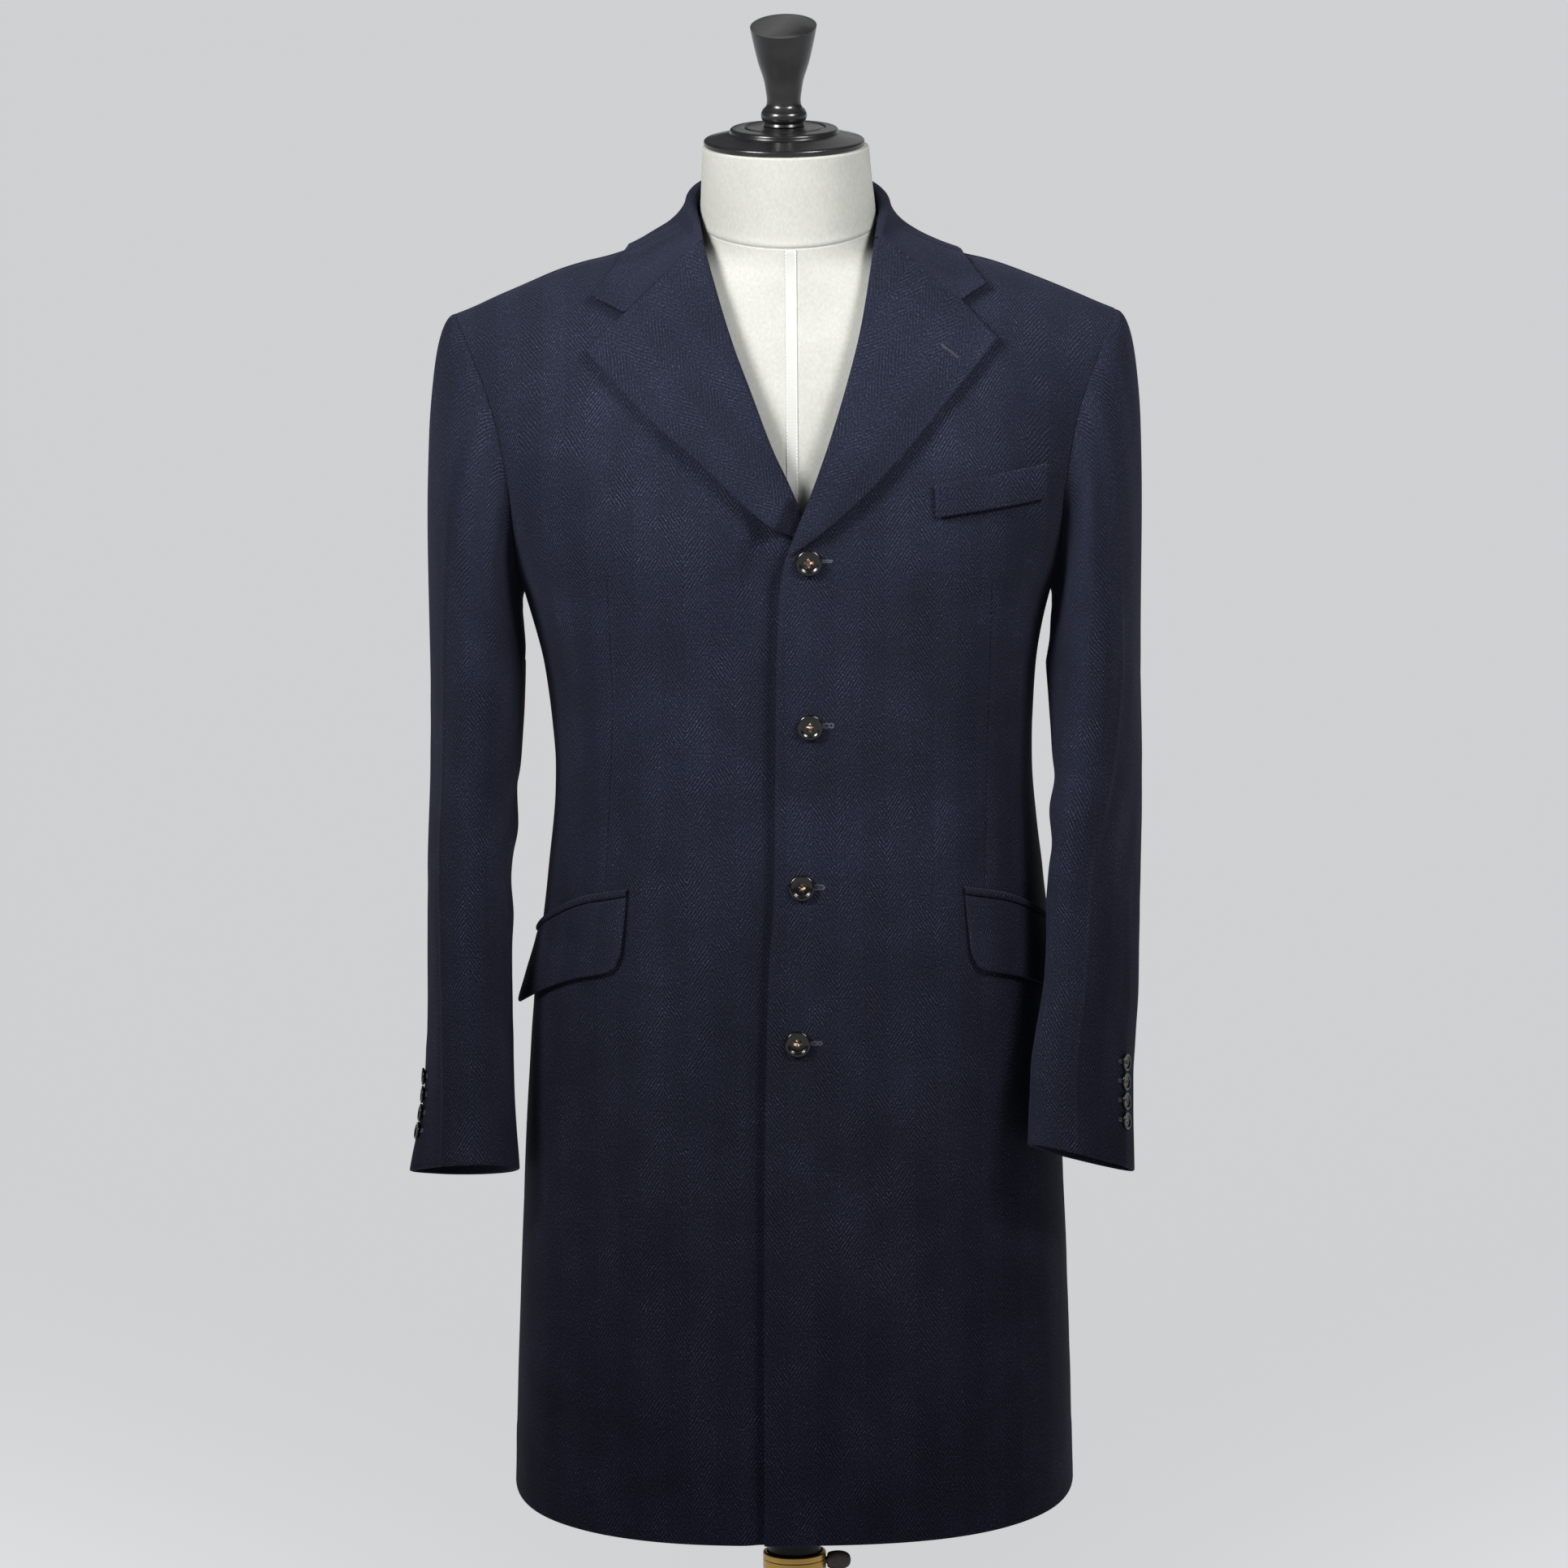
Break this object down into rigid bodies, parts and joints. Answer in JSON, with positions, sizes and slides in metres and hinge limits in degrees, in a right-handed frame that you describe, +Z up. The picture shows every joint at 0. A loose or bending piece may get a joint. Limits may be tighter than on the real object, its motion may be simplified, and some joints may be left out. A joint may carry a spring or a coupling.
{
  "type": "wool overcoat on a tailor's dress form",
  "caption": "Navy herringbone wool overcoat with notch lapels, buttoned on a limbless tailor's dress form whose pole slides in a stand.",
  "frame": {"origin": "centre of the base's underside, on the floor and on the pole's axis", "axes": "+Z up along the pole; -Y the way the coat faces; +X the wearer's left"},
  "size_m": [0.5581, 0.38, 1.6575],
  "materials": {
    "herringbone_wool": "matte",
    "dark_horn": "gloss",
    "ivory_canvas": "matte",
    "black_wood": "gloss",
    "brass": "satin",
    "cast_iron": "satin",
    "black_metal": "satin"
  },
  "bodies": {
    "stand": {"base": "cast_iron", "brass_tube": "brass"},
    "form": {"back_left": "herringbone_wool", "back_right": "herringbone_wool", "front_left": "herringbone_wool", "front_right": "herringbone_wool", "sleeve_top_left": "herringbone_wool", "sleeve_under_left": "herringbone_wool", "sleeve_top_right": "herringbone_wool", "sleeve_under_right": "herringbone_wool", "collar": "herringbone_wool", "lapel_left": "herringbone_wool", "lapel_right": "herringbone_wool", "breast_welt": "herringbone_wool", "pocket_jet_left": "herringbone_wool", "flap_left": "herringbone_wool", "pocket_jet_right": "herringbone_wool", "flap_right": "herringbone_wool", "button_front_1": "dark_horn", "button_front_2": "dark_horn", "button_front_3": "dark_horn", "button_front_4": "dark_horn", "button_cuff_left_1": "dark_horn", "button_cuff_left_2": "dark_horn", "button_cuff_left_3": "dark_horn", "button_cuff_left_4": "dark_horn", "button_cuff_right_1": "dark_horn", "button_cuff_right_2": "dark_horn", "button_cuff_right_3": "dark_horn", "button_cuff_right_4": "dark_horn", "form_torso": "ivory_canvas", "neck_cap": "black_wood", "finial": "black_wood", "inner_pole": "black_wood"},
    "clamp": {"clamp_screw": "black_metal"}
  },
  "joints": [
    {"name": "form_height", "type": "slide", "parent": "stand", "child": "form", "axis": [0, 0, 1], "range_m": [-0.09, 0.2]},
    {"name": "clamp_turn", "type": "hinge", "parent": "stand", "child": "clamp", "pos_m": [0.0207, 0, 0.461], "axis": [1, 0, 0], "range_deg": [0, 180]}
  ]
}
